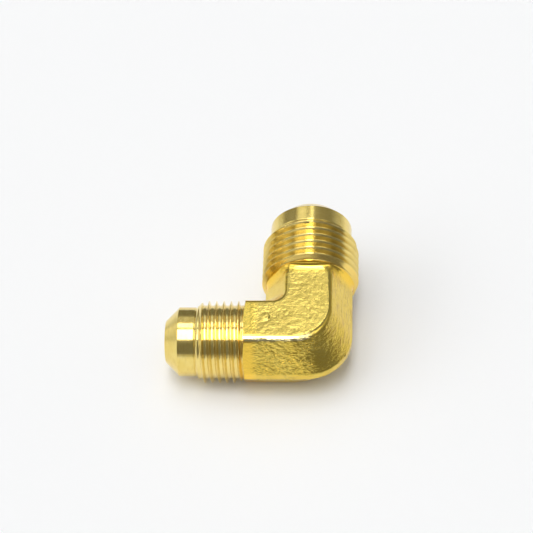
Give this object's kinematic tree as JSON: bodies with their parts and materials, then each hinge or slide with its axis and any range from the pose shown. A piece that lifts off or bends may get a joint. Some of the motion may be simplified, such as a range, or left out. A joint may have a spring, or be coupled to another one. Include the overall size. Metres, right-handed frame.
{
  "type": "flare elbow fitting",
  "caption": "Forged brass 90 degree reducing elbow with two male 45 degree flare ends, unified fine threads, pilots and seat cones, drilled through.",
  "frame": {"origin": "on the lower wrench flat, straight below the point where the axes of the two ports cross", "axes": "small port points along -X, large port along +Y, +Z is square to both port axes, which lie 7.5 mm above the origin"},
  "size_m": [0.0369, 0.0377, 0.0189],
  "materials": {
    "brass": "forged body, turned ends"
  },
  "bodies": {
    "root": {"elbow_body": "brass"}
  },
  "joints": []
}
